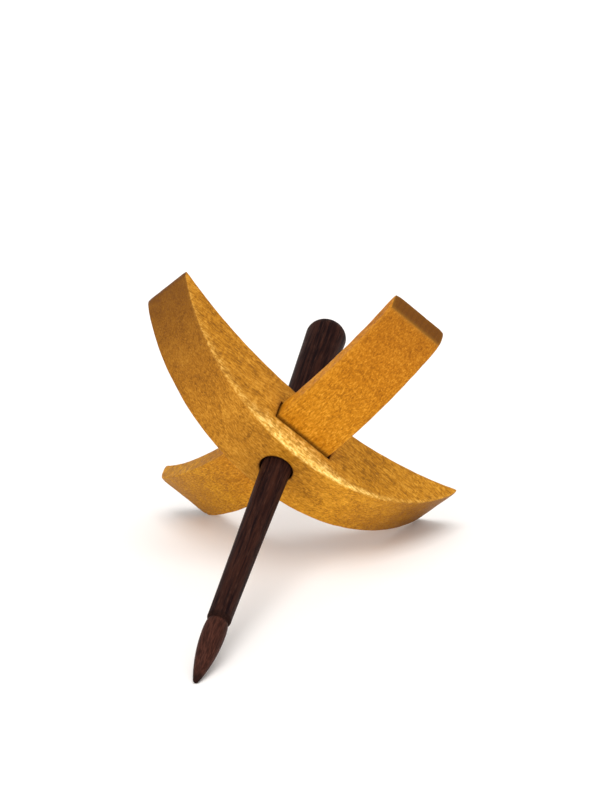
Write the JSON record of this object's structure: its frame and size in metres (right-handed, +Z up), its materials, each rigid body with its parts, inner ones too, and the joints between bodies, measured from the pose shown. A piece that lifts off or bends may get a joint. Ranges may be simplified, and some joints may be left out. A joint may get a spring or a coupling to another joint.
{
  "type": "turkish drop spindle",
  "caption": "Hand spindle for spinning yarn: two crossed, curved wooden arms that slide together, on a tapered wooden shaft with a yarn notch behind its pointed tip.",
  "frame": {"origin": "on the table, under the middle of the space that the spindle takes up as it lies on its tip and on one end of each arm", "axes": "+Z up from the table; the shaft lies over the Y axis with its pointed tip towards -Y, and slopes 21 degrees down to it"},
  "size_m": [0.106, 0.1606, 0.0969],
  "materials": {
    "arm_wood": "satin, hand rubbed oil and wax",
    "shaft_wood": "satin, turned and waxed"
  },
  "bodies": {
    "whorl": {"outer_arm": "arm_wood", "inner_arm": "arm_wood"},
    "shaft": {"shaft": "shaft_wood"}
  },
  "joints": [
    {"name": "shaft_withdrawal", "type": "slide", "parent": "whorl", "child": "shaft", "axis": [0, 0.9351, 0.3543], "range_m": [0, 0.13]}
  ]
}
